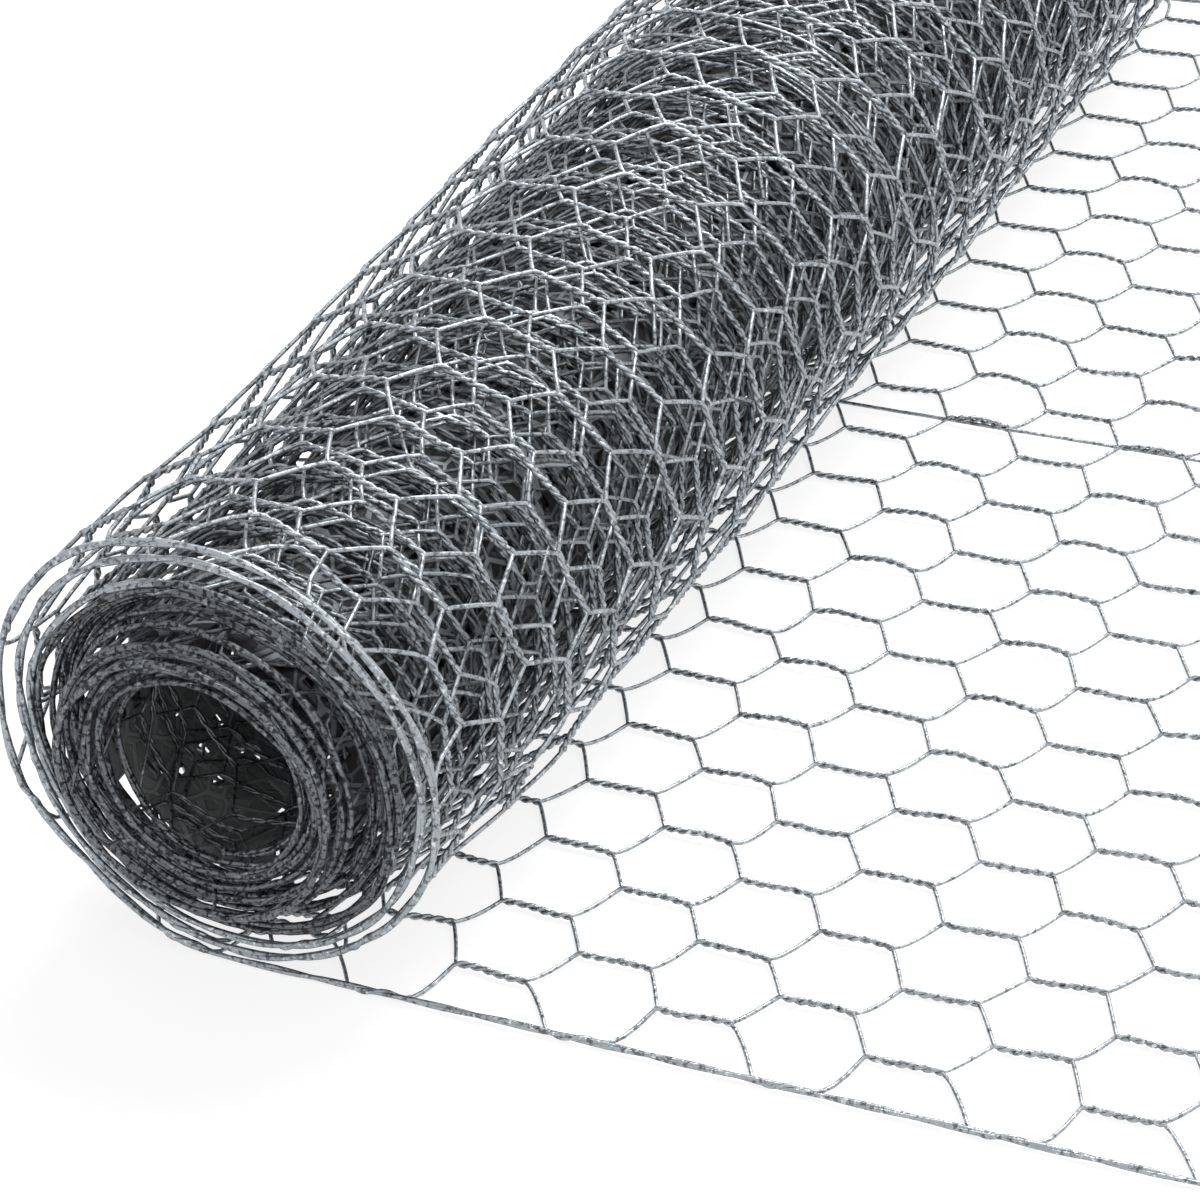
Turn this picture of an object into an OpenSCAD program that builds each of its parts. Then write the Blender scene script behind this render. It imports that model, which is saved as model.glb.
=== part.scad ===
// Roll of hexagonal wire netting lying on the floor with its free end rolled out flat.
// Millimetres. +X is the way the free end runs, +Y the axis of the roll, +Z up.
// The origin is on the floor, under the axis of the roll and half way along it.

/* [Netting] */
// Width of the netting between the outer edges of its two selvedges
net_w = 600; // [300:1:1200]
// Distance between the two twisted sides of one hexagon
mesh_w = 27; // [20:0.5:40]
// Length after which the pattern repeats along a row of twists
mesh_l = 54; // [50:0.5:80]
// Length of one twist
twist_l = 19.7; // [14:0.1:23]
// Diameter of the wire
wire_d = 1; // [0.6:0.1:1.8]
// Width of a selvedge, several wires laid together
selvedge_w = 2.4; // [1.8:0.1:4]
// Least distance from a selvedge to the row of twists beside it
edge_min = 14; // [10:0.5:20]

/* [Roll] */
// Outer diameter of the roll
roll_d = 122; // [110:1:180]
// Diameter of the tightly wound turns, inside the loose ones
pack_d = 101; // [80:1:104]
// Diameter of the bore
bore_d = 49; // [30:1:60]
// Distance from one tight turn to the next
turn_pitch = 1.65; // [1.5:0.05:3]
// Number of loose turns outside the tight ones
loose_turns = 3; // [1:1:4]
// Thickness of a turn where it shows on an end of the roll
turn_t = 1; // [0.8:0.1:1.4]
// Depth of the gap between the turns on an end of the roll
turn_depth = 6; // [2:0.5:15]

/* [Free end] */
// Length of the flat free end, from under the axis to where it is cut
tail_l = 262; // [120:1:600]
// Length of netting that lies flat under the roll, past the line that the roll rests on
tail_under = 14; // [8:1:30]
// Distance from under the axis to the middle of the first whole twist of the middle row
first_twist = 34; // [0:1:54]

/* [Hidden] */
$fn = 96;

// The hexagons
row_pitch = mesh_w / 2;
twist_w = 2 * wire_d;
tail_t = 2 * wire_d;
corner_x = (mesh_l - twist_l) / 2;
lean = (corner_x - twist_l / 2) / row_pitch;
side_gap = wire_d / 2 * sqrt(1 + lean * lean);
selvedge_y = net_w / 2 - selvedge_w / 2;
side_rows = floor((net_w / 2 - edge_min) / row_pitch);
edge_gap = selvedge_y - side_rows * row_pitch;
first_col = -ceil((tail_under + first_twist) / mesh_l) - 1;
last_col = ceil((tail_l - first_twist) / mesh_l);

// The turns
axis_z = roll_d / 2 + tail_t;
pack_turns = floor((pack_d - bore_d) / 2 / turn_pitch);
all_turns = pack_turns + loose_turns;
inner_r = bore_d / 2 + turn_t / 2;
pack_r = inner_r + pack_turns * turn_pitch;
outer_r = roll_d / 2 - turn_t / 2;
slack = 0.4;
steps = 24;
cut = 1;

// The open netting of the outer turn, flat between the lines along which its wires bend
flats = 2 * floor(PI * roll_d / mesh_l);
flat_angle = 360 / flats;
net_in_r = roll_d / 2 - turn_t;
cut_from = (net_in_r * cos(flat_angle / 2) - corner_x * sin(flat_angle)) / cos(flat_angle) - wire_d / 2;

// Twists of one row lie half a repeat along from those of the rows beside it
function row_shift(row) = row % 2 == 0 ? 0 : mesh_l / 2;
function twist_x(row, col) = first_twist + row_shift(row) + col * mesh_l;

// Half length of a hexagon's opening, at a distance y from the line through its two corners
function half_open(y) = corner_x - side_gap - lean * y;

// Radius of a turn, counted from the bore outwards; the loose turns open up towards the outside
function loose_share(q) = q + slack * q * (1 - q);
function turn_r(n) = n <= pack_turns
    ? inner_r + n * turn_pitch
    : pack_r + (outer_r - pack_r) * loose_share((n - pack_turns) / loose_turns);
function turn_point(n, r) = let (a = 360 * (n - all_turns) - 90) [r * cos(a), r * sin(a)];

// One side of an opening, up from the line through its corners to a wire at the height top
module half_opening(low, top)
    polygon([
        [-half_open(low), low], [half_open(low), low],
        [half_open(top), top], [-half_open(top), top]
    ]);

// A whole opening inside the net; the middle line wire divides those of the middle row in two
module opening(row) {
    top = row_pitch - twist_w / 2;
    low = row == 0 ? wire_d / 2 : 0;
    half_opening(low, top);
    mirror([0, 1]) half_opening(low, top);
}

// The opening between a selvedge and two twists of the last row
module edge_opening() {
    half_opening(0, row_pitch - twist_w / 2);
    mirror([0, 1]) half_opening(0, edge_gap - selvedge_w / 2);
}

// The opening between a selvedge and one twist of the last row
module edge_wedge() {
    top = edge_gap - selvedge_w / 2;
    low = twist_w / 2;
    half = twist_l / 2 - side_gap;
    polygon([
        [-half - lean * low, -low], [half + lean * low, -low],
        [half + lean * top, -top], [-half - lean * top, -top]
    ]);
}

// Every opening of the free end
module openings() {
    for (col = [first_col:last_col]) {
        for (row = [1 - side_rows:side_rows - 1])
            translate([twist_x(row, col) + mesh_l / 2, row * row_pitch]) opening(row);
        for (side = [-1, 1]) {
            y = side_rows * row_pitch;
            mirror([0, side < 0 ? 0 : 1]) {
                translate([twist_x(side_rows, col) + mesh_l / 2, -y]) edge_opening();
                translate([twist_x(side_rows, col), -y]) edge_wedge();
            }
        }
    }
}

// The flat net, one wire thick
module flat_net()
    linear_extrude(wire_d) difference() {
        translate([-tail_under, -net_w / 2]) square([tail_under + tail_l, net_w]);
        openings();
    }

// The upper wire of each twist and selvedge, which makes them two wires thick
module upper_wires()
    translate([0, 0, wire_d]) linear_extrude(tail_t - wire_d) {
        for (row = [-side_rows:side_rows], col = [first_col:last_col]) {
            x = twist_x(row, col);
            start = max(x - twist_l / 2, -tail_under);
            end = min(x + twist_l / 2, tail_l);
            if (end - start > wire_d)
                translate([start, row * row_pitch - wire_d / 2]) square([end - start, wire_d]);
        }
        for (side = [-1, 1])
            translate([-tail_under, side * selvedge_y - wire_d / 2]) square([tail_under + tail_l, wire_d]);
    }

// The gap between the turns, as it shows on an end of the roll
module turn_gap() {
    inside = [for (i = [0:steps * (all_turns - 1)]) let (n = i / steps)
        turn_point(n, turn_r(n) + turn_t / 2)];
    outside = [for (i = [steps * (all_turns - 1):-1:0]) let (n = i / steps)
        turn_point(n, turn_r(n + 1) - turn_t / 2)];
    polygon(concat(inside, outside));
}

// The openings that lie in one line along the roll, in every other row of the net
module line_of_openings(first_row) {
    for (row = [first_row:2:side_rows - 1]) translate([0, row * row_pitch]) opening(row);
    for (side = [-1, 1]) mirror([0, side < 0 ? 0 : 1]) translate([0, -side_rows * row_pitch])
        if ((side_rows - first_row) % 2 == 0) edge_opening(); else edge_wedge();
}

// Corners of the outer turn, with one of them on the floor
function turn_corners(r) = [for (i = [0:flats - 1]) let (a = i * flat_angle - 90) [r * cos(a), r * sin(a)]];

// The outer turn, which is loose: the same net as the free end, one wire thick
module outer_turn()
    difference() {
        linear_extrude(net_w, center = true) difference() {
            polygon(turn_corners(roll_d / 2));
            polygon(turn_corners(net_in_r));
        }
        for (i = [0:flats - 1])
            rotate((i + 1 / 2) * flat_angle - 90) translate([cut_from, 0, 0]) rotate([90, 0, 90])
                linear_extrude(roll_d / 2 - cut_from + cut) line_of_openings(1 - side_rows + i % 2);
    }

// The selvedges of the loose turns, which wind in to the tight ones
module loose_edges()
    for (end = [0, 1]) mirror([0, 0, end]) translate([0, 0, net_w / 2 - selvedge_w])
        linear_extrude(selvedge_w) difference() {
            circle(r = outer_r);
            circle(r = pack_r);
        }

// The tight turns with their bore, and the gap between all the turns on both ends
module wound_turns()
    difference() {
        union() {
            cylinder(r = pack_r + turn_t / 2, h = net_w, center = true);
            loose_edges();
        }
        cylinder(d = bore_d, h = net_w + 2 * cut, center = true);
        for (end = [0, 1]) mirror([0, 0, end]) translate([0, 0, net_w / 2 - turn_depth])
            linear_extrude(turn_depth + cut) turn_gap();
    }

module roll()
    color("dimgray") translate([0, 0, axis_z]) rotate([90, 0, 0]) union() {
        wound_turns();
        outer_turn();
    }

module tail()
    color("slategray") union() {
        flat_net();
        upper_wires();
    }

roll();
tail();
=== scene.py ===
"""Roll of galvanised hexagonal wire netting on a white floor, with its free end rolled out flat."""

import math

import bpy
from mathutils import Matrix, Vector


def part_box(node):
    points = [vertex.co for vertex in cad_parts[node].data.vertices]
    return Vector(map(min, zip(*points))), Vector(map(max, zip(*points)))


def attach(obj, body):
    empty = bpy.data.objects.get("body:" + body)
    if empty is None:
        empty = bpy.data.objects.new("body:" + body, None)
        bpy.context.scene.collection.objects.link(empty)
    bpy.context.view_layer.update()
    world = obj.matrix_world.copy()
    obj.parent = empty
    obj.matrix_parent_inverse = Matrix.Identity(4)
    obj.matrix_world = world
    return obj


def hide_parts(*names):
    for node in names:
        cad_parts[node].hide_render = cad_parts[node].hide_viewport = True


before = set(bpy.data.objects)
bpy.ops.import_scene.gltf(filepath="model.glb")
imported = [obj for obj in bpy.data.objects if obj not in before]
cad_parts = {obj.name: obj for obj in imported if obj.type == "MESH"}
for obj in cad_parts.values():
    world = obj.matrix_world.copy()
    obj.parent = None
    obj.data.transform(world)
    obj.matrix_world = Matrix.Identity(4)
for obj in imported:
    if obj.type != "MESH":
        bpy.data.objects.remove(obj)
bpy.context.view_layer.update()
roll_low, roll_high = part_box("roll")
tail_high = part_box("tail")[1]

# Sizes of the netting in metres: those of the solids, with a slightly thicker wire
MM = 0.001
HALF_WIDTH = roll_high[1]
ROW_PITCH = 13.5 * MM
REPEAT = 54 * MM
HALF_REPEAT = REPEAT / 2
TWIST = 19.7 * MM
WIRE = 1.1 * MM
WIRES = 44
MIDDLE_ROW = WIRES // 2
SELVEDGE_Y = HALF_WIDTH + 0.3 * MM
EDGE_EXTRA = SELVEDGE_Y - MIDDLE_ROW * ROW_PITCH
# From the cut end to the start of the first twists
FIRST_TWIST = 2.15 * MM
# How far a wire stands off the middle of its twist, and how much more on the line wire and on a selvedge
STAND_OFF, LINE_MORE, EDGE_MORE = 0.43 * WIRE, 0.15 * WIRE, 0.2 * WIRE
# How uneven the twists are: along and across the netting, in slant, in bow and in height
UNEVEN_ALONG, UNEVEN_ACROSS = 0.5 * MM, 0.6 * MM
TILT, BEND, UNEVEN_HUMP = 1.1 * MM, 0.5 * MM, 0.4 * MM
# How far a twist arches up: in even rows, by how much less in odd ones, and on the roll
HUMP, HUMP_LESS, ROLL_HUMP = 1.3 * MM, 1.4 * MM, 0.9 * MM
# The twists lie flatter towards the near edge: two places across the netting, and the share at each
FLATTER = (-0.26, -0.12, 0.1, 1.0)
# How far an edge wire is set back, meets its selvedge late and leaves it early
EDGE_BACK, EDGE_LATE, EDGE_EARLY = 2.2 * MM, 4.0 * MM, 3.0 * MM
# Power by which a wire eases into its next twist: plain, more on its way to the near edge, how much that
# varies, and more from a selvedge and to one
EASE, EASE_NEAR, EASE_VARIES, EASE_FROM_EDGE, EASE_TO_EDGE = 1.1, 0.14, 0.22, 0.2, 2.3
# How far a wire sags between two twists on the floor, and how much of the twist's bow goes into that
SLOPE_SAG, SLOPE_BOW = 0.4 * MM, 0.7
WEAVE_SEED, OPENINGS_SEED = 7, 5
# Small amounts that keep whole numbers from falling just under themselves
JUST_OVER, JUST_OVER_HALF = 1e-5, 1e-4

# Sizes of the roll
CUT_END = tail_high[0]
AXIS_Z = (roll_low[2] + roll_high[2]) / 2
NET_Z = 1.5 * MM
# The path starts this far before the cut end, which isn't square
LEAD = 20 * MM
GUIDE_STEPS = 96
# The winding from the outside in: turns from where the netting leaves the floor, then in millimetres the
# radius and how far the netting has slipped along the axis. The outer turns are loose. Of the tight ones
# the outer half stands out at the far end, and the inner half at the near end
WINDING = (
    (0.0, 61.5, 0.0), (0.05, 61.9, 0.0), (0.125, 58.6, 0.0), (0.19, 61.6, 0.0), (0.25, 60.6, 0.0),
    (0.5, 61.4, 0.0), (0.75, 60.4, 0.5), (1.0, 58.4, 0.5), (1.25, 54.8, 0.0), (1.5, 57.2, -0.5),
    (1.75, 56.8, -0.5), (2.0, 54.0, 0.0), (2.25, 51.6, 0.0), (2.5, 50.4, -0.5), (3.0, 49.8, 0.0),
    (4.0, 48.2, 3.0), (5.0, 46.6, 6.0), (6.0, 45.1, 7.5), (7.0, 43.6, 8.0), (8.0, 42.1, 7.0),
    (9.0, 40.6, 3.0), (10.0, 39.2, -4.0), (11.0, 37.8, -8.0), (12.0, 36.4, -9.0), (13.0, 35.0, -8.0),
    (14.0, 32.2, -5.0), (15.0, 30.4, -4.5), (16.0, 28.7, -3.5), (17.0, 27.0, -2.5), (18.0, 25.4, -1.5),
)
TURNS = 18
# In millimetres: no turn is quite round, and the tight edges lie in front of and behind each other
OUT_OF_ROUND, NEST, NEST_MORE = 0.3, 2.7, 0.9
# The tight turns hang a little lower than the loose ones
SAG_START, SAG_END, SAG = 2.0, 2.6, 2.0 * MM
# The netting runs off the roll a little out of square, from the roll's near end
SKEW_ANGLE = math.radians(1.7)
SKEW = math.tan(SKEW_ANGLE)
SKEW_FROM = -0.297
# and bows back towards its far edge, in metres for each square metre
FAR_BOW = 0.096
# Wound netting is pulled out of shape in its plane, over some length, fading out between two distances from
# its edges, and it bulges over some length
PULL, PULL_OVER, PULL_FADES, PULL_ENDS = 30 * MM, 190 * MM, 60 * MM, 10 * MM
BULGE, BULGE_OVER = 7.0 * MM, 70 * MM
# The loose turns have settled: on the side that the netting runs off, and on the other side at the near and
# the far end. The last is the distance from an end over which its stiffness holds them
SETTLED, SETTLED_NEAR, SETTLED_FAR, END_HOLDS = 6.8 * MM, 6.0 * MM, -2.5 * MM, 75 * MM
# Places between which they change, along the roll and from one side of it to the other
NEAR_TO_FAR, SIDE_TO_SIDE = (-0.22, 0.02), (-20 * MM, 60 * MM)
# The tight turns have this share of the bulges and of the settling, and have sprung open by this much
TIGHT_BULGE, TIGHT_SETTLED, SPRUNG = 0.25, 0.65, 2.0 * MM
# No strand of a selvedge runs quite straight: the length over which it wanders, and how far apart two
# strands are in the noise that moves them
WANDER_OVER, STRAND_APART = 16 * MM, 3.7

# Kinds of node and a setting that are used often
MATH, RANGE, MIX, NOISE = "ShaderNodeMath", "ShaderNodeMapRange", "ShaderNodeMix", "ShaderNodeTexNoise"
SMOOTH = {"interpolation_type": "SMOOTHSTEP"}


def put(tree, kind, values=(), **settings):
    """Adds one node: its settings, then its inputs in order or by name, each a value or a link."""
    made = tree.nodes.new(kind)
    for name, setting in settings.items():
        setattr(made, name, setting)
    pairs = values.items() if isinstance(values, dict) else enumerate(values)
    for key, value in pairs:
        if value is None:
            continue
        if isinstance(value, bpy.types.Node):
            value = value.outputs[0]
        if isinstance(value, bpy.types.NodeSocket):
            tree.links.new(value, made.inputs[key])
        else:
            made.inputs[key].default_value = value
    return made


def new_tree(name, inputs, outputs):
    """Makes a Geometry Nodes tree with named inputs and outputs, each a name and a socket type."""
    tree = bpy.data.node_groups.new(name, "GeometryNodeTree")
    for label, kind in inputs:
        tree.interface.new_socket(label, in_out="INPUT", socket_type="NodeSocket" + kind)
    for label, kind in outputs:
        tree.interface.new_socket(label, in_out="OUTPUT", socket_type="NodeSocket" + kind)
    return tree, tree.nodes.new("NodeGroupInput").outputs, tree.nodes.new("NodeGroupOutput").inputs


def new_shader(owner):
    """Gives a material or a world an empty node tree."""
    owner.use_nodes = True
    owner.node_tree.nodes.clear()
    return owner.node_tree


def linear(code):
    """Turns an sRGB hex colour to the linear values that a shader takes."""
    parts = [int(code[i:i + 2], 16) / 255 for i in (1, 3, 5)]
    return [p / 12.92 if p <= 0.04045 else ((p + 0.055) / 1.055) ** 2.4 for p in parts] + [1.0]


def guide_points():
    """Points of the path that the netting follows: along the floor, under the roll and inwards."""
    points = [(CUT_END + LEAD, 0.0, NET_Z), (CUT_END, 0.0, NET_Z), (0.0, 0.0, NET_Z)]
    stage = 0
    for step in range(1, TURNS * GUIDE_STEPS + 1):
        turn = step / GUIDE_STEPS
        while WINDING[stage + 1][0] < turn:
            stage += 1
        (start, r0, slip0), (end, r1, slip1) = WINDING[stage:stage + 2]
        share = (turn - start) / (end - start)
        angle = math.radians(270 - 360 * turn)
        # Waves that don't come round to the same place turn by turn
        wave = math.sin(3.13 * angle + 0.8) + 0.8 * math.sin(5.21 * angle + 2.1)
        r = (r0 + (r1 - r0) * share + OUT_OF_ROUND * wave * min(turn, 1)) * MM
        slip = slip0 + (slip1 - slip0) * share
        nest = NEST * math.sin(0.94 * math.pi * turn) + NEST_MORE * math.sin(0.58 * math.pi * turn + 1)
        slip = (slip + nest * min(max(turn - 2, 0), 1)) * MM
        sag = SAG * min(max((turn - SAG_START) / (SAG_END - SAG_START), 0), 1)
        points.append((r * math.cos(angle), slip, AXIS_Z - sag + r * math.sin(angle)))
    return points


path = guide_points()
# Length of netting from its cut end to each whole turn
run_length = CUT_END
turn_length = [run_length]
for number, (before, after) in enumerate(zip(path[2:], path[3:]), start=1):
    run_length += math.dist(before, after)
    if number % GUIDE_STEPS == 0:
        turn_length.append(run_length)
# Lengths over which the netting takes on the ways of the roll, of its inner turns and of its tight turns
ON_ROLL = CUT_END, CUT_END + 0.2
ON_INNER = turn_length[0], turn_length[1] + 0.1
ON_TIGHT = turn_length[2], turn_length[3]
# Length over which the tight turns close up again
CLOSES_UP = turn_length[4], turn_length[10]

guide_curve = bpy.data.curves.new("winding_path", "CURVE")
guide_curve.dimensions = "3D"
spline = guide_curve.splines.new("POLY")
spline.points.add(len(path) - 1)
for spot, place in zip(spline.points, path):
    spot.co = (*place, 1)
guide = bpy.data.objects.new("winding_path", guide_curve)
bpy.context.collection.objects.link(guide)


# Group: takes a place on the flat netting to its place on the floor or round the roll

lay, lay_in, lay_out = new_tree(
    "lay_on_roll",
    [("Guide", "Geometry"), ("Along", "Float"), ("Across", "Float"), ("Height", "Float")],
    [("Position", "Vector")],
)
wound = put(lay, RANGE, (lay_in["Along"], *ON_ROLL, 0.0, 1.0), **SMOOTH)
inner_turns = put(lay, RANGE, (lay_in["Along"], *ON_INNER, 0.0, 1.0), **SMOOTH)
# Wound netting is pulled out of shape, so that the openings of one turn don't lie over those of the next
flat_place = put(lay, "ShaderNodeCombineXYZ", (lay_in["Along"], lay_in["Across"], 0.0))
pull = put(lay, NOISE, {"Vector": flat_place, "Scale": 1 / PULL_OVER, "Detail": 1.0})
pull_mid = put(lay, "ShaderNodeVectorMath", (pull.outputs["Color"], (0.5, 0.5, 0.5)), operation="SUBTRACT")
pull_part = put(lay, "ShaderNodeSeparateXYZ", (pull_mid,))
off_middle = put(lay, MATH, (lay_in["Across"],), operation="ABSOLUTE")
clear = put(lay, RANGE, (off_middle, HALF_WIDTH - PULL_FADES, HALF_WIDTH - PULL_ENDS, 1.0, 0.0), **SMOOTH)
pull_along = put(lay, MATH, (inner_turns, PULL), operation="MULTIPLY")
pull_across = put(lay, MATH, (inner_turns, clear), operation="MULTIPLY")
pull_across = put(lay, MATH, (pull_across, PULL), operation="MULTIPLY")
along = put(lay, MATH, (pull_part.outputs["X"], pull_along, lay_in["Along"]), operation="MULTIPLY_ADD")
across = put(lay, MATH, (pull_part.outputs["Y"], pull_across, lay_in["Across"]), operation="MULTIPLY_ADD")
# It also lies out of square
skew_from = put(lay, MATH, (lay_in["Across"], SKEW_FROM), operation="SUBTRACT")
along = put(lay, MATH, (skew_from, SKEW, along), operation="MULTIPLY_ADD")
far_side = put(lay, MATH, (lay_in["Across"], 0.0), operation="MAXIMUM")
far_bow = put(lay, MATH, (far_side, 2.0), operation="POWER")
along = put(lay, MATH, (far_bow, -FAR_BOW, along), operation="MULTIPLY_ADD")
off_roll = put(lay, MATH, (CUT_END, along), operation="SUBTRACT")
off_roll = put(lay, MATH, (off_roll, 0.0), operation="MAXIMUM")
across = put(lay, MATH, (off_roll, SKEW, across), operation="MULTIPLY_ADD")
along = put(lay, MATH, (along, LEAD), operation="ADD")
at = put(lay, "GeometryNodeSampleCurve", {"Curves": lay_in["Guide"], "Length": along}, mode="LENGTH")
run = put(lay, "ShaderNodeSeparateXYZ", (at.outputs["Tangent"],))
down = put(lay, MATH, (run.outputs["X"], -1.0), operation="MULTIPLY")
inward = put(lay, "ShaderNodeCombineXYZ", (run.outputs["Z"], 0.0, down))
# Loose turns stand off unevenly, and have settled towards the side that the netting runs off
loose = put(lay, RANGE, (lay_in["Along"], *ON_TIGHT, 1.0, TIGHT_BULGE), **SMOOTH)
place = put(lay, "ShaderNodeSeparateXYZ", (at.outputs["Position"],))
other_side = put(lay, RANGE, (lay_in["Across"], *NEAR_TO_FAR, SETTLED_NEAR, SETTLED_FAR), **SMOOTH)
to_side = put(lay, RANGE, (place, *SIDE_TO_SIDE, other_side, SETTLED), **SMOOTH)
from_end = put(lay, RANGE, (off_middle, HALF_WIDTH - END_HOLDS, HALF_WIDTH, 1.0, 0.0), **SMOOTH)
bulge_fade = put(lay, MATH, (wound, loose), operation="MULTIPLY")
settle = put(lay, MATH, (to_side, from_end), operation="MULTIPLY")
followed = put(lay, RANGE, (lay_in["Along"], *ON_TIGHT, 1.0, TIGHT_SETTLED), **SMOOTH)
settle = put(lay, MATH, (settle, wound), operation="MULTIPLY")
settle = put(lay, MATH, (settle, followed), operation="MULTIPLY")
# Between the ends the tight turns have sprung open a little
opened = put(lay, RANGE, (lay_in["Along"], *ON_TIGHT, 0.0, -SPRUNG), **SMOOTH)
closing = put(lay, RANGE, (lay_in["Along"], *CLOSES_UP, 1.0, 0.0))
opened = put(lay, MATH, (opened, closing), operation="MULTIPLY")
opened = put(lay, MATH, (opened, from_end, lay_in["Height"]), operation="MULTIPLY_ADD")
across_point = put(lay, "ShaderNodeCombineXYZ", (settle, across, 0.0))
spot = put(lay, "ShaderNodeVectorMath", (at.outputs["Position"], across_point), operation="ADD")
bulge = put(lay, NOISE, {"Vector": spot, "Scale": 1 / BULGE_OVER, "Detail": 1.0})
bulge_mid = put(lay, MATH, (bulge.outputs[0], 0.5), operation="SUBTRACT")
bulge_size = put(lay, MATH, (bulge_fade, BULGE), operation="MULTIPLY")
lift = put(lay, MATH, (bulge_mid, bulge_size, opened), operation="MULTIPLY_ADD")
moved = put(lay, "ShaderNodeVectorMath", {0: inward, "Scale": lift}, operation="SCALE")
placed = put(lay, "ShaderNodeVectorMath", (spot, moved), operation="ADD")
lay.links.new(placed.outputs[0], lay_out["Position"])


def lay_down(tree, sockets, along, across, height=None):
    """Adds the group above to a tree, for places on the flat netting."""
    info = put(tree, "GeometryNodeObjectInfo", (sockets["Guide"],), transform_space="ORIGINAL")
    places = {"Guide": info.outputs["Geometry"], "Along": along, "Across": across, "Height": height}
    return put(tree, "GeometryNodeGroup", places, node_tree=lay)


def as_wires(tree, sockets, dots, strand):
    """Makes one round wire from the points of each strand, as real faces with the piece's material."""
    strands = put(tree, "GeometryNodePointsToCurves", {"Points": dots, "Curve Group ID": strand})
    wire_r = put(tree, MATH, (sockets["Wire diameter"], 0.5), operation="MULTIPLY")
    section = put(tree, "GeometryNodeCurvePrimitiveCircle",
                  {"Resolution": sockets["Sides"], "Radius": wire_r}, mode="RADIUS")
    tubes = put(tree, "GeometryNodeCurveToMesh",
                {"Curve": strands, "Profile Curve": section, "Fill Caps": True})
    tubes = put(tree, "GeometryNodeSetShadeSmooth", {"Geometry": tubes})
    tubes = put(tree, "GeometryNodeRealizeInstances", (tubes,))
    return put(tree, "GeometryNodeSetMaterial", {"Geometry": tubes, "Material": sockets["Material"]})


# Group: where the middle of one twist lies, and how far its wires stand off from that middle

row_tree, row_in, row_out = new_tree(
    "twist_place",
    [("Row", "Float"), ("Half repeat", "Float"), ("Seed", "Int")],
    [("Across", "Float"), ("Stand off", "Float"), ("Along shift", "Float"), ("Hump", "Float"),
     ("Bend", "Float"), ("Tilt", "Float"), ("Edge", "Float")],
)
from_middle = put(row_tree, MATH, (row_in["Row"], float(MIDDLE_ROW)), operation="SUBTRACT")
far_edge = put(row_tree, MATH, (row_in["Row"], WIRES - 0.5), operation="GREATER_THAN")
near_edge = put(row_tree, MATH, (row_in["Row"], 0.5), operation="LESS_THAN")
edge = put(row_tree, MATH, (far_edge, near_edge), operation="SUBTRACT")
at_edge = put(row_tree, MATH, (far_edge, near_edge), operation="ADD")
inner = put(row_tree, MATH, (1.0, at_edge), operation="SUBTRACT")
on_line = put(row_tree, MATH, (row_in["Row"], float(MIDDLE_ROW), 0.5), operation="COMPARE")
# Each twist has a number of its own, as no row has a thousand of them
number = put(row_tree, MATH, (row_in["Row"], 1000.0, row_in["Half repeat"]), operation="MULTIPLY_ADD")
chance = put(row_tree, "FunctionNodeRandomValue",
             {0: (-1.0, -1.0, -1.0), 1: (1.0, 1.0, 1.0), "ID": number, "Seed": row_in["Seed"]},
             data_type="FLOAT_VECTOR")
uneven = put(row_tree, "ShaderNodeSeparateXYZ", (chance,))
straight = put(row_tree, MATH, (from_middle, ROW_PITCH), operation="MULTIPLY")
to_edge = put(row_tree, MATH, (edge, EDGE_EXTRA, straight), operation="MULTIPLY_ADD")
sway = put(row_tree, MATH, (uneven.outputs["Y"], UNEVEN_ACROSS), operation="MULTIPLY")
middle_y = put(row_tree, MATH, (sway, inner, to_edge), operation="MULTIPLY_ADD")
edge_shift = put(row_tree, MATH, (at_edge, -EDGE_BACK), operation="MULTIPLY")
shift = put(row_tree, MATH, (uneven.outputs["X"], UNEVEN_ALONG, edge_shift), operation="MULTIPLY_ADD")
around_line = put(row_tree, MATH, (on_line, LINE_MORE, STAND_OFF), operation="MULTIPLY_ADD")
stand_off = put(row_tree, MATH, (at_edge, EDGE_MORE, around_line), operation="MULTIPLY_ADD")
humped = put(row_tree, MATH, (row_in["Row"], 2.0), operation="FLOORED_MODULO")
hump_plain = put(row_tree, MATH, (humped, -HUMP_LESS, HUMP), operation="MULTIPLY_ADD")
flatter = put(row_tree, RANGE, (straight, *FLATTER), **SMOOTH)
hump_plain = put(row_tree, MATH, (hump_plain, flatter), operation="MULTIPLY")
hump_uneven = put(row_tree, MATH, (uneven.outputs["Z"], UNEVEN_HUMP, hump_plain), operation="MULTIPLY_ADD")
bend = put(row_tree, MATH, (uneven.outputs["Y"], inner), operation="MULTIPLY")
bend = put(row_tree, MATH, (bend, BEND), operation="MULTIPLY")
hump = put(row_tree, MATH, (hump_uneven, inner), operation="MULTIPLY")
tilt = put(row_tree, MATH, (uneven.outputs["Z"], inner), operation="MULTIPLY")
tilt = put(row_tree, MATH, (tilt, TILT), operation="MULTIPLY")
for label, result in (("Across", middle_y), ("Stand off", stand_off), ("Along shift", shift),
                      ("Hump", hump), ("Bend", bend), ("Tilt", tilt), ("Edge", edge)):
    row_tree.links.new(result.outputs[0], row_out[label])


# Tree: the woven wires, each going from a twist with one neighbour to a twist with the other

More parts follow.
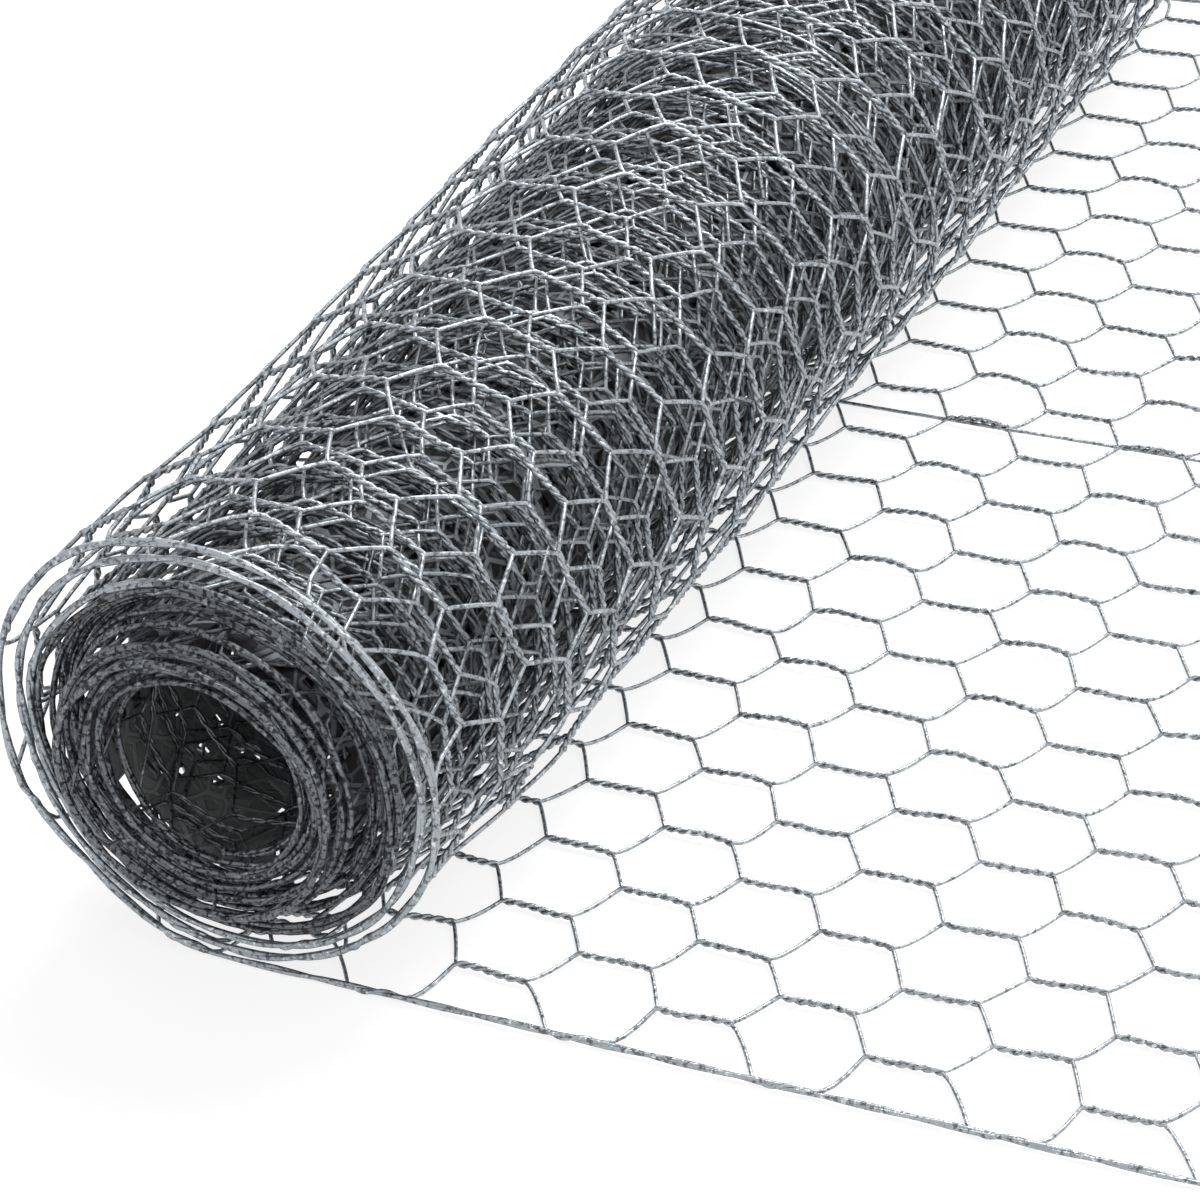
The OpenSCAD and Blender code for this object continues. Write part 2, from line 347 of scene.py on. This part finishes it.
weave, weave_in, weave_out = new_tree(
    "woven_wires",
    [("Guide", "Object"), ("First half repeat", "Int"), ("Half repeats", "Int"), ("Stub samples", "Int"),
     ("Twist samples", "Int"), ("Slope samples", "Int"), ("Sides", "Int"), ("Twist turns", "Float"),
     ("Wire diameter", "Float"), ("Wires a side", "Int"), ("Seed", "Int"), ("Material", "Material")],
    [("Geometry", "Geometry")],
)
per_half = put(weave, MATH, (weave_in["Twist samples"], weave_in["Slope samples"]), operation="ADD")
whole = put(weave, MATH, (weave_in["Half repeats"], per_half, 1.0), operation="MULTIPLY_ADD")
samples = put(weave, MATH, (whole, weave_in["Stub samples"]), operation="ADD")
wire_count = put(weave, MATH, (weave_in["Wires a side"], 2.0), operation="MULTIPLY")
count = put(weave, MATH, (samples, wire_count), operation="MULTIPLY")
dots = put(weave, "GeometryNodePoints", (count,))
index = put(weave, "GeometryNodeInputIndex")
wire_share = put(weave, MATH, (index, samples), operation="DIVIDE")
wire_safe = put(weave, MATH, (wire_share, JUST_OVER), operation="ADD")
wire_made = put(weave, MATH, (wire_safe,), operation="FLOOR")
wire_start = put(weave, MATH, (wire_made, samples), operation="MULTIPLY")
# Where only the wires of the two edges are made, the second half of them skips those between
left_out = put(weave, MATH, (float(WIRES), wire_count), operation="SUBTRACT")
same_side = put(weave, MATH, (wire_made, weave_in["Wires a side"]), operation="LESS_THAN")
other_side = put(weave, MATH, (1.0, same_side), operation="SUBTRACT")
wire = put(weave, MATH, (other_side, left_out, wire_made), operation="MULTIPLY_ADD")
step_here = put(weave, MATH, (index, wire_start), operation="SUBTRACT")
step_stub = put(weave, MATH, (step_here, weave_in["Stub samples"]), operation="SUBTRACT")
half_here = put(weave, MATH, (step_stub, per_half), operation="DIVIDE")
half_safe = put(weave, MATH, (half_here, JUST_OVER_HALF), operation="ADD")
half_count = put(weave, MATH, (half_safe,), operation="FLOOR")
half_start = put(weave, MATH, (half_count, per_half), operation="MULTIPLY")
step = put(weave, MATH, (step_stub, half_start), operation="SUBTRACT")
half = put(weave, MATH, (half_count, weave_in["First half repeat"]), operation="ADD")
next_half = put(weave, MATH, (half, 1.0), operation="ADD")
twist_part = put(weave, MATH, (step, weave_in["Twist samples"]), operation="DIVIDE")
twist_share = put(weave, MATH, (twist_part, 1.0), operation="MINIMUM")
slope_step = put(weave, MATH, (step, weave_in["Twist samples"]), operation="SUBTRACT")
slope_part = put(weave, MATH, (slope_step, weave_in["Slope samples"]), operation="DIVIDE")
slope_share = put(weave, MATH, (slope_part, 0.0), operation="MAXIMUM")
slope_left = put(weave, MATH, (1.0, slope_share), operation="SUBTRACT")
turn_order = put(weave, MATH, (wire, half), operation="ADD")
upper = put(weave, MATH, (turn_order, 2.0), operation="FLOORED_MODULO")
lower = put(weave, MATH, (1.0, upper), operation="SUBTRACT")
row = put(weave, MATH, (wire, upper), operation="ADD")
next_row = put(weave, MATH, (wire, lower), operation="ADD")
side = put(weave, MATH, (upper, -2.0, 1.0), operation="MULTIPLY_ADD")
here, there = (
    put(weave, "GeometryNodeGroup", {"Row": place_row, "Half repeat": place_half, "Seed": weave_in["Seed"]},
        node_tree=row_tree).outputs
    for place_row, place_half in ((row, half), (next_row, next_half)))
# An edge wire goes once round the selvedge that it runs along, and meets it at a slant
edge_here = put(weave, MATH, (here["Edge"],), operation="ABSOLUTE")
edge_there = put(weave, MATH, (there["Edge"],), operation="ABSOLUTE")
turns_here = put(weave, MIX, {0: edge_here, 2: weave_in["Twist turns"], 3: 1.0})
turned = put(weave, MATH, (twist_share, turns_here), operation="MULTIPLY")
angle = put(weave, MATH, (turned, math.tau), operation="MULTIPLY")
cosine = put(weave, MATH, (angle,), operation="COSINE")
sine = put(weave, MATH, (angle,), operation="SINE")
side_off = put(weave, MATH, (side, here["Stand off"]), operation="MULTIPLY")
across_here = put(weave, MATH, (side_off, cosine, here["Across"]), operation="MULTIPLY_ADD")
from_middle = put(weave, MATH, (twist_share, 0.5), operation="SUBTRACT")
across_here = put(weave, MATH, (here["Tilt"], from_middle, across_here), operation="MULTIPLY_ADD")
next_side = put(weave, MATH, (side, -1.0), operation="MULTIPLY")
across_there = put(weave, MATH, (next_side, there["Stand off"], there["Across"]), operation="MULTIPLY_ADD")
across_there = put(weave, MATH, (there["Tilt"], -0.5, across_there), operation="MULTIPLY_ADD")
# A wire leaves a twist at a corner and eases into the next one, more so on its way to the near edge. On the
# roll the netting is drawn tight: its twists stay straight, and so do the wires between them
half_length = put(weave, MATH, (half, HALF_REPEAT, FIRST_TWIST), operation="MULTIPLY_ADD")
on_floor = put(weave, MATH, (half_length, CUT_END), operation="LESS_THAN")
ease_more = put(weave, MATH, (there["Tilt"], EASE_VARIES / TILT, EASE_NEAR), operation="MULTIPLY_ADD")
ease_more = put(weave, MATH, (ease_more, on_floor), operation="MULTIPLY")
easing = put(weave, MATH, (upper, ease_more, EASE), operation="MULTIPLY_ADD")
easing = put(weave, MATH, (edge_here, EASE_FROM_EDGE, easing), operation="MULTIPLY_ADD")
easing = put(weave, MATH, (edge_there, EASE_TO_EDGE, easing), operation="MULTIPLY_ADD")
slope_power = put(weave, MATH, (slope_left, easing), operation="POWER")
eased = put(weave, MATH, (1.0, slope_power), operation="SUBTRACT")
net_y = put(weave, MIX, {0: eased, 2: across_here, 3: across_there})
whole_turn = put(weave, MATH, (twist_share, math.tau), operation="MULTIPLY")
bend_share = put(weave, MATH, (whole_turn,), operation="SINE")
net_y = put(weave, MATH, (bend_share, here["Bend"], net_y), operation="MULTIPLY_ADD")
turn_z = put(weave, MATH, (side_off, sine), operation="MULTIPLY")
arch = put(weave, MATH, (twist_share, math.pi), operation="MULTIPLY")
arch_sine = put(weave, MATH, (arch,), operation="SINE")
inner_here = put(weave, MATH, (1.0, edge_here), operation="SUBTRACT")
straight_here = put(weave, MATH, (inner_here, ROLL_HUMP), operation="MULTIPLY")
hump_here = put(weave, MIX, {0: on_floor, 2: straight_here, 3: here["Hump"]})
net_z = put(weave, MATH, (arch_sine, hump_here, turn_z), operation="MULTIPLY_ADD")
# Between two twists it sags a little
sag_part = put(weave, MATH, (slope_share, math.pi), operation="MULTIPLY")
sag_sine = put(weave, MATH, (sag_part,), operation="SINE")
sag = put(weave, MATH, (here["Bend"], SLOPE_BOW, -SLOPE_SAG), operation="MULTIPLY_ADD")
sag = put(weave, MATH, (sag, on_floor), operation="MULTIPLY")
net_z = put(weave, MATH, (sag_sine, sag, net_z), operation="MULTIPLY_ADD")
twist_length = put(weave, MATH, (twist_share, TWIST, half_length), operation="MULTIPLY_ADD")
slope_length = put(weave, MATH, (slope_share, HALF_REPEAT - TWIST, twist_length), operation="MULTIPLY_ADD")
net_shift = put(weave, MIX, {0: slope_share, 2: here["Along shift"], 3: there["Along shift"]})
net_x = put(weave, MATH, (slope_length, net_shift), operation="ADD")
# An edge wire meets its selvedge late and leaves it early
twist_left = put(weave, MATH, (1.0, twist_share), operation="SUBTRACT")
late_here = put(weave, MATH, (edge_here, twist_left), operation="MULTIPLY")
late = put(weave, MATH, (edge_there, slope_share, late_here), operation="MULTIPLY_ADD")
net_x = put(weave, MATH, (late, EDGE_LATE, net_x), operation="MULTIPLY_ADD")
leaving = put(weave, MATH, (twist_share, slope_left), operation="MULTIPLY")
early = put(weave, MATH, (edge_here, leaving), operation="MULTIPLY")
net_x = put(weave, MATH, (early, -EDGE_EARLY, net_x), operation="MULTIPLY_ADD")
laid = lay_down(weave, weave_in, net_x, net_y, net_z)
dots = put(weave, "GeometryNodeSetPosition", {"Geometry": dots, "Position": laid})
weave.links.new(as_wires(weave, weave_in, dots, wire).outputs[0], weave_out["Geometry"])


# Tree: straight wires laid along the netting, as the ropes of the selvedges and the middle line wire

ropes, ropes_in, ropes_out = new_tree(
    "laid_wires",
    [("Guide", "Object"), ("Start", "Float"), ("Step", "Float"), ("Samples", "Int"), ("Lines", "Int"),
     ("Line distance", "Float"), ("Strands", "Int"), ("Strand offset", "Float"), ("Lay length", "Float"),
     ("Unevenness", "Float"), ("Wire diameter", "Float"), ("Sides", "Int"), ("Material", "Material")],
    [("Geometry", "Geometry")],
)
strand_count = put(ropes, MATH, (ropes_in["Lines"], ropes_in["Strands"]), operation="MULTIPLY")
rope_count = put(ropes, MATH, (strand_count, ropes_in["Samples"]), operation="MULTIPLY")
dots = put(ropes, "GeometryNodePoints", (rope_count,))
index = put(ropes, "GeometryNodeInputIndex")
share = put(ropes, MATH, (index, ropes_in["Samples"]), operation="DIVIDE")
share_safe = put(ropes, MATH, (share, JUST_OVER), operation="ADD")
strand = put(ropes, MATH, (share_safe,), operation="FLOOR")
strand_start = put(ropes, MATH, (strand, ropes_in["Samples"]), operation="MULTIPLY")
rope_step = put(ropes, MATH, (index, strand_start), operation="SUBTRACT")
line_share = put(ropes, MATH, (strand, ropes_in["Strands"]), operation="DIVIDE")
line_safe = put(ropes, MATH, (line_share, JUST_OVER), operation="ADD")
line = put(ropes, MATH, (line_safe,), operation="FLOOR")
line_side = put(ropes, MATH, (line, 2.0, -1.0), operation="MULTIPLY_ADD")
line_y = put(ropes, MATH, (line_side, ropes_in["Line distance"]), operation="MULTIPLY")
rope_along = put(ropes, MATH, (rope_step, ropes_in["Step"], ropes_in["Start"]), operation="MULTIPLY_ADD")
lay_turns = put(ropes, MATH, (rope_along, ropes_in["Lay length"]), operation="DIVIDE")
lay_start = put(ropes, MATH, (lay_turns, line_share), operation="ADD")
lay_angle = put(ropes, MATH, (lay_start, math.tau), operation="MULTIPLY")
lay_cosine = put(ropes, MATH, (lay_angle,), operation="COSINE")
lay_sine = put(ropes, MATH, (lay_angle,), operation="SINE")
rope_y = put(ropes, MATH, (lay_cosine, ropes_in["Strand offset"], line_y), operation="MULTIPLY_ADD")
rope_z = put(ropes, MATH, (lay_sine, ropes_in["Strand offset"]), operation="MULTIPLY")
strand_aside = put(ropes, MATH, (strand, STRAND_APART), operation="MULTIPLY")
rope_place = put(ropes, "ShaderNodeCombineXYZ", (rope_along, strand_aside, 0.0))
wander = put(ropes, NOISE, {"Vector": rope_place, "Scale": 1 / WANDER_OVER, "Detail": 2.0})
wander = put(ropes, "ShaderNodeVectorMath", (wander.outputs["Color"], (0.5, 0.5, 0.5)),
             operation="SUBTRACT")
wander = put(ropes, "ShaderNodeSeparateXYZ", (wander,))
rope_y = put(ropes, MATH, (wander.outputs["Y"], ropes_in["Unevenness"], rope_y), operation="MULTIPLY_ADD")
rope_z = put(ropes, MATH, (wander.outputs["X"], ropes_in["Unevenness"], rope_z), operation="MULTIPLY_ADD")
laid = lay_down(ropes, ropes_in, rope_along, rope_y, rope_z)
dots = put(ropes, "GeometryNodeSetPosition", {"Geometry": dots, "Position": laid})
ropes.links.new(as_wires(ropes, ropes_in, dots, strand).outputs[0], ropes_out["Geometry"])


# Tree: a wound sheet with openings left in it, for turns that are packed too close to be told apart

sheet, sheet_in, sheet_out = new_tree(
    "packed_sheet",
    [("Guide", "Object"), ("Start", "Float"), ("Length", "Float"), ("Width", "Float"), ("Cell", "Float"),
     ("Open share", "Float"), ("Thickness", "Float"), ("Outer material", "Material"),
     ("Inner material", "Material")],
    [("Geometry", "Geometry")],
)
columns = put(sheet, MATH, (sheet_in["Length"], sheet_in["Cell"]), operation="DIVIDE")
lanes = put(sheet, MATH, (sheet_in["Width"], sheet_in["Cell"]), operation="DIVIDE")
cells = put(sheet, "GeometryNodeMeshGrid", (sheet_in["Length"], sheet_in["Width"], columns, lanes))
flat = put(sheet, "ShaderNodeSeparateXYZ", (put(sheet, "GeometryNodeInputPosition"),))
sheet_middle = put(sheet, MATH, (sheet_in["Length"], 0.5, sheet_in["Start"]), operation="MULTIPLY_ADD")
sheet_along = put(sheet, MATH, (flat.outputs["X"], sheet_middle), operation="ADD")
sheet_map = put(sheet, "ShaderNodeCombineXYZ", (sheet_along, flat.outputs["Y"], 0.0))
mapped = put(sheet, "GeometryNodeStoreNamedAttribute",
             {"Geometry": cells, "Name": "unrolled", "Value": sheet_map},
             data_type="FLOAT2", domain="CORNER")
laid = lay_down(sheet, sheet_in, sheet_along, flat.outputs["Y"])
wrapped = put(sheet, "GeometryNodeSetPosition", {"Geometry": mapped, "Position": laid})
chance = put(sheet, "FunctionNodeRandomValue", {"Seed": OPENINGS_SEED}, data_type="FLOAT")
missing = put(sheet, MATH, (chance.outputs[1], sheet_in["Open share"]), operation="LESS_THAN")
wrapped = put(sheet, "GeometryNodeDeleteGeometry", {"Geometry": wrapped, "Selection": missing},
              domain="FACE")
grown = put(sheet, "GeometryNodeExtrudeMesh",
            {"Mesh": wrapped, "Offset Scale": sheet_in["Thickness"], "Individual": False})
grown = put(sheet, "GeometryNodeSetMaterial", {"Geometry": grown, "Material": sheet_in["Outer material"]})
under = put(sheet, "GeometryNodeFlipFaces", (wrapped,))
under = put(sheet, "GeometryNodeSetMaterial", {"Geometry": under, "Material": sheet_in["Inner material"]})
closed = put(sheet, "GeometryNodeJoinGeometry", (grown,))
sheet.links.new(under.outputs[0], closed.inputs[0])
closed = put(sheet, "GeometryNodeMergeByDistance", {"Geometry": closed, "Distance": 0.01 * MM})
closed = put(sheet, "GeometryNodeRealizeInstances", (closed,))
sheet.links.new(closed.outputs[0], sheet_out["Geometry"])


# Hot-dip galvanised steel wire: grey zinc with dark pits and small bright beads where it froze, both drawn
# coarser than they are so that they show. Its darker copies are painted shade: greyer under the outer
# turns, darker and less metallic deeper in the pack and in the bore, and darkest, with more and blacker
# pits, on the selvedges of the tight turns
BEAD_SIZE, PIT_SIZE, EDGE_PIT_SIZE, PATCH_SIZE = 1.5 * MM, 1.4 * MM, 1.2 * MM, 18 * MM


def zinc_coat(name, pit, dull, pale, bead, more_pits=0.0, bare=0.85, pit_size=PIT_SIZE):
    material = bpy.data.materials.new(name)
    shade = new_shader(material)
    spot = put(shade, "ShaderNodeTexCoord").outputs["Object"]
    fine = put(shade, NOISE, {"Vector": spot, "Scale": 1 / BEAD_SIZE, "Detail": 2.0})
    pits = put(shade, NOISE, {"Vector": spot, "Scale": 1 / pit_size, "Detail": 3.0})
    patches = put(shade, NOISE, {"Vector": spot, "Scale": 1 / PATCH_SIZE, "Detail": 1.0})
    beaded = put(shade, RANGE, (fine.outputs[0], 0.6, 0.72, 0.0, 1.0))
    # A higher share of pits darkens the coat; on the selvedges of the tight turns it is painted shade
    pitted = put(shade, RANGE, (pits.outputs[0], 0.38 + more_pits, 0.48 + more_pits, 1.0, 0.0))
    coat = put(shade, MIX, {"Factor": patches.outputs[0], 6: linear(dull), 7: linear(pale)},
               data_type="RGBA")
    for share, colour in ((pitted, pit), (beaded, bead)):
        coat = put(shade, MIX, {"Factor": share, 6: coat.outputs[2], 7: linear(colour)}, data_type="RGBA")
    rough = put(shade, RANGE, (fine.outputs[0], 0.3, 0.7, 0.5, 0.3))
    dents = put(shade, "ShaderNodeBump", {"Strength": 0.8, "Distance": 0.3 * MM, "Height": fine.outputs[0]})
    metal = put(shade, "ShaderNodeBsdfPrincipled",
                {"Base Color": coat.outputs[2], "Metallic": bare, "Roughness": rough, "Normal": dents})
    put(shade, "ShaderNodeOutputMaterial", (metal,))
    return material


zinc = zinc_coat("hot_dip_galvanised_steel", "#686d71", "#989fa4", "#b5bcc1", "#e0e8ec")
# Painted shade: a greyer copy of the zinc, for the turns under the outer ones
zinc_painted_shade = zinc_coat("galvanised_steel_painted_shade", "#505457", "#878d91", "#a1a8ac", "#cfd6da")
# Painted shade: a darker, less metallic copy of the zinc, for the turns deeper in the pack and in the bore
dull_zinc_painted_shade = zinc_coat("dull_galvanised_steel_painted_shade", "#4a4e50", "#74797c", "#8b9093", "#aeb2b4", bare=0.5)
# Painted shade: the darkest copy of the zinc, with more and blacker pits, for the selvedges of the tight
# turns
edge_zinc_painted_shade = zinc_coat("galvanised_steel_edges_painted_shade", "#242628", "#686d70", "#82878a", "#a0a5a7",
                      more_pits=0.04, bare=0.6, pit_size=EDGE_PIT_SIZE)


def plain_piece(name, tree, **values):
    """Runs a tree with its inputs set by identifier, and keeps the result as a plain mesh."""
    holder = bpy.data.objects.new(name + "_maker", bpy.data.meshes.new(name + "_maker"))
    bpy.context.collection.objects.link(holder)
    maker = holder.modifiers.new(name, "NODES")
    maker.node_group = tree
    sockets = {s.name: s.identifier for s in tree.interface.items_tree if s.in_out == "INPUT"}
    for label, value in values.items():
        maker[sockets[label.replace("_", " ")]] = value
    depsgraph = bpy.context.evaluated_depsgraph_get()
    mesh = bpy.data.meshes.new_from_object(holder.evaluated_get(depsgraph), depsgraph=depsgraph)
    mesh.name = name
    bpy.data.objects.remove(holder)
    piece = bpy.data.objects.new(name, mesh)
    bpy.context.collection.objects.link(piece)
    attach(piece, "root")
    return piece


def length_at(turn):
    """Length of netting from the cut end to a number of turns in."""
    low = min(int(turn), TURNS - 1)
    return turn_length[low] + (turn_length[low + 1] - turn_length[low]) * (turn - low)


def half_at(turn):
    """Number of half repeats from the cut end to a number of turns in."""
    return int((length_at(turn) - FIRST_TWIST) / HALF_REPEAT)


# The netting in stretches from its cut end inwards, each up to a number of half repeats. Those that are
# seen closer have more samples: of the stub before the first twist, of a twist, of the slope after it, and
# round the wire. Then come the turns of a twist, the wire's thickness, the wires made from each edge, and
# the finish, which deeper in the roll is a darker copy of the zinc, as painted shade
ALL = WIRES // 2
EDGE_WIRES = 3
STRETCHES = (
    ("tail_net", half_at(0) + 1, 1, 24, 6, 6, 3.0, 1.0, ALL, zinc),
    ("outer_turn", half_at(1.25), 0, 16, 4, 6, 3.0, 1.12, ALL, zinc),
    ("second_turn", half_at(2.4), 0, 12, 3, 5, 3.0, 1.08, ALL, zinc),
    ("upper_pack", half_at(5.4), 0, 10, 2, 4, 2.5, 1.14, ALL, zinc_painted_shade),
    ("middle_pack", half_at(9), 0, 6, 2, 3, 1.5, 1.2, ALL, dull_zinc_painted_shade),
    ("lower_pack", half_at(12), 0, 6, 2, 3, 1.5, 1.2, ALL, dull_zinc_painted_shade),
    ("edges_of_pack", half_at(14), 0, 8, 2, 4, 2.0, 1.0, EDGE_WIRES, dull_zinc_painted_shade),
    ("bore_turns", half_at(TURNS) - 1, 0, 8, 2, 3, 2.0, 1.0, ALL, dull_zinc_painted_shade),
)
first = 0
for name, last, stub, twist_samples, slope_samples, sides, turns, thick, wires, finish in STRETCHES:
    plain_piece(
        name, weave, Guide=guide, First_half_repeat=first, Half_repeats=last - first, Stub_samples=stub,
        Twist_samples=twist_samples, Slope_samples=slope_samples, Sides=sides, Twist_turns=turns,
        Wire_diameter=WIRE * thick, Wires_a_side=wires, Seed=WEAVE_SEED, Material=finish)
    first = last

# The selvedges, each of two thick wires: up to a length of netting, then the distance between samples, how
# far a wire stands off the middle, how much it wanders, its thickness and its finish, which on the tight
# turns is the darkest copy of the zinc, as painted shade
LAY_LENGTH = 45 * MM
ROPES = (
    ("tail_selvedges", CUT_END + 10 * MM, 1.5 * MM, 0.32 * MM, 0.5 * MM, 1.25 * MM, zinc),
    ("loose_selvedges", turn_length[2] + 0.15, 3.0 * MM, 0.36 * MM, 1.0 * MM, 1.55 * MM, zinc),
    ("pack_selvedges", turn_length[-1], 3.0 * MM, 0.3 * MM, 2.4 * MM, 1.5 * MM, edge_zinc_painted_shade),
)
start = 0.0
for name, end, step, offset, uneven, thick, finish in ROPES:
    plain_piece(
        name, ropes, Guide=guide, Start=start, Step=step, Samples=int((end - start) / step) + 2,
        Lines=2, Line_distance=SELVEDGE_Y, Strands=2, Strand_offset=offset, Lay_length=LAY_LENGTH,
        Unevenness=uneven, Wire_diameter=thick, Sides=6, Material=finish)
    start = end
# The single wire along the middle row
LINE_STEP = 3 * MM
plain_piece(
    "line_wire", ropes, Guide=guide, Start=0.0, Step=LINE_STEP, Samples=int(turn_length[-1] / LINE_STEP),
    Lines=1, Line_distance=0.0, Strands=1, Strand_offset=0.0, Lay_length=1.0, Unevenness=0.5 * MM,
    Wire_diameter=WIRE, Sides=5, Material=zinc)

# Packed galvanised wire in deep shade: nets of several turns over one another, painted, with dark painted
# shade between them and a painted shadow by each wire, and the nets further back painted darker. The inside
# is painted paler, as painted light, because it only gets the light that comes in at the ends. From the
# back to the front, each net has a size of its openings, a shift, and a share of the wire's colour
PACKED_NETS = ((8 * MM, 0.0, 0.3), (10 * MM, 0.31, 0.6), (13 * MM, 0.67, 1.0))


def packed_wire(name, gap, wire):
    material = bpy.data.materials.new(name)
    shade = new_shader(material)
    flat = put(shade, "ShaderNodeUVMap", uv_map="unrolled")
    shown = linear(gap)
    ridge = 0.0
    for cell, shift, share in PACKED_NETS:
        aside = put(shade, "ShaderNodeVectorMath", (flat, (shift, shift, 0.0)), operation="ADD")
        edges = put(shade, "ShaderNodeTexVoronoi", {"Vector": aside, "Scale": 1 / cell, "Randomness": 0.8},
                    feature="DISTANCE_TO_EDGE")
        # Each painted wire has a painted shadow, a dark line on both sides
        half = WIRE / 2 / cell
        shadow = put(shade, RANGE, (edges.outputs["Distance"], half, 2.2 * half, 0.9, 0.0))
        line = put(shade, RANGE, (edges.outputs["Distance"], 0.7 * half, half, 1.0, 0.0))
        shade_of = put(shade, MIX, {"Factor": share, 6: linear(gap), 7: linear(wire)}, data_type="RGBA")
        under = put(shade, MIX, {"Factor": shadow, 6: shown, 7: linear(gap)}, data_type="RGBA")
        over = put(shade, MIX, {"Factor": line, 6: under.outputs[2], 7: shade_of.outputs[2]},
                   data_type="RGBA")
        shown = over.outputs[2]
        raised = put(shade, MATH, (line, share), operation="MULTIPLY")
        ridge = put(shade, MATH, (ridge, raised), operation="MAXIMUM")
    ridges = put(shade, "ShaderNodeBump", {"Strength": 0.8, "Distance": 1.0 * MM, "Height": ridge})
    gloom = put(shade, "ShaderNodeBsdfPrincipled",
                {"Base Color": shown, "Metallic": 0.3, "Roughness": 0.6, "Normal": ridges})
    put(shade, "ShaderNodeOutputMaterial", (gloom,))
    return material


# The turns in the middle of the pack, as a sheet wound with the netting, painted with wires and with dark
# painted shade between them
CORE_START, CORE_END = length_at(12.2), length_at(13.9)
CORE_WIDTH = 2 * (HALF_WIDTH - 13 * MM)
plain_piece(
    "packed_turns", sheet, Guide=guide, Start=CORE_START, Length=CORE_END - CORE_START,
    Width=CORE_WIDTH, Cell=3 * MM, Open_share=0.08, Thickness=0.6 * MM,
    # Painted shade: dark between the painted wires, and a painted shadow beside each
    Outer_material=packed_wire("packed_wire_painted_shade", "#161718", "#8d9397"),
    # Painted light: the inside is painted paler, as it only gets the light that comes in at the ends
    Inner_material=packed_wire("packed_wire_in_bore_painted_light", "#999a9b", "#b8babb"))

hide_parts("tail")
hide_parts("roll")
bpy.data.objects.remove(guide)


def seen_directly(shade):
    """Is 1 where a surface is seen, straight on or in metal or glass, and 0 where it only gives light."""
    rays = put(shade, "ShaderNodeLightPath").outputs
    seen = put(shade, MATH, (rays["Is Camera Ray"], rays["Is Glossy Ray"]), operation="MAXIMUM")
    return put(shade, MATH, (seen, rays["Is Transmission Ray"]), operation="MAXIMUM")


# The floor: white paper, which keeps the soft shadow of the roll
FLOOR_REACH, FLOOR_GLOW = 8.0, 0.8
floor_mesh = bpy.data.meshes.new("floor")
corners = [(x * FLOOR_REACH, y * FLOOR_REACH, 0) for x, y in ((-1, -1), (1, -1), (1, 1), (-1, 1))]
floor_mesh.from_pydata(corners, [], [(0, 1, 2, 3)])
floor = bpy.data.objects.new("floor", floor_mesh)
bpy.context.collection.objects.link(floor)
paper = bpy.data.materials.new("white_paper")
shade = new_shader(paper)
glow = put(shade, MATH, (seen_directly(shade), FLOOR_GLOW), operation="MULTIPLY")
matt = put(shade, "ShaderNodeBsdfDiffuse", {"Color": linear("#a0a0a0")})
light = put(shade, "ShaderNodeEmission", {"Color": linear("#ffffff"), "Strength": glow})
both = put(shade, "ShaderNodeAddShader", (matt, light))
put(shade, "ShaderNodeOutputMaterial", (both,))
floor_mesh.materials.append(paper)

# The world: white where it is seen, and a soft even light
SKY_LIGHT = 0.45
world = bpy.data.worlds.new("studio")
bpy.context.scene.world = world
shade = new_shader(world)
level = put(shade, MIX, {0: seen_directly(shade), 2: SKY_LIGHT, 3: 1.0})
sky = put(shade, "ShaderNodeBackground", {"Color": linear("#ffffff"), "Strength": level})
put(shade, "ShaderNodeOutputWorld", (sky,))

# Soft lamps, each with its place, size and power
LAMPS_AIM = Vector((0.05, 0, 0.03))
for name, place, size, power in (
    ("key", (0.2, 1.1, 1.9), 1.1, 52),
    ("fill", (1.8, -0.6, 1.8), 1.4, 9),
):
    lamp_data = bpy.data.lights.new(name, "AREA")
    lamp_data.size = size
    lamp_data.energy = power
    lamp = bpy.data.objects.new(name, lamp_data)
    lamp.location = place
    lamp.rotation_euler = (LAMPS_AIM - Vector(place)).to_track_quat("-Z", "Y").to_euler()
    bpy.context.collection.objects.link(lamp)

# The camera at the photograph's angle. It was found from the regular pattern of the net on the floor, as if
# that net lay square, so it is turned with the net
pivot = Vector((0, SKEW_FROM, 0))
eye = Vector((0.4349, -0.9637, 0.6137))
right = Vector((0.91281, 0.40306, -0.06573))
up = Vector((-0.17089, 0.52316, 0.83493))
back = Vector((0.37091, -0.75090, 0.54642))
turned = Matrix.Rotation(SKEW_ANGLE, 4, "Z")
eye = pivot + turned @ (eye - pivot)
axes = Matrix((turned @ right, turned @ up, turned @ back)).transposed().to_4x4()
camera_data = bpy.data.cameras.new("camera")
camera_data.sensor_width = 36.0
camera_data.sensor_fit = "HORIZONTAL"
camera_data.lens = 119.8
camera_data.clip_start = 0.01
camera = bpy.data.objects.new("camera", camera_data)
camera.matrix_world = Matrix.Translation(eye) @ axes
bpy.context.collection.objects.link(camera)
bpy.context.scene.camera = camera

bpy.context.scene.view_settings.view_transform = "Standard"
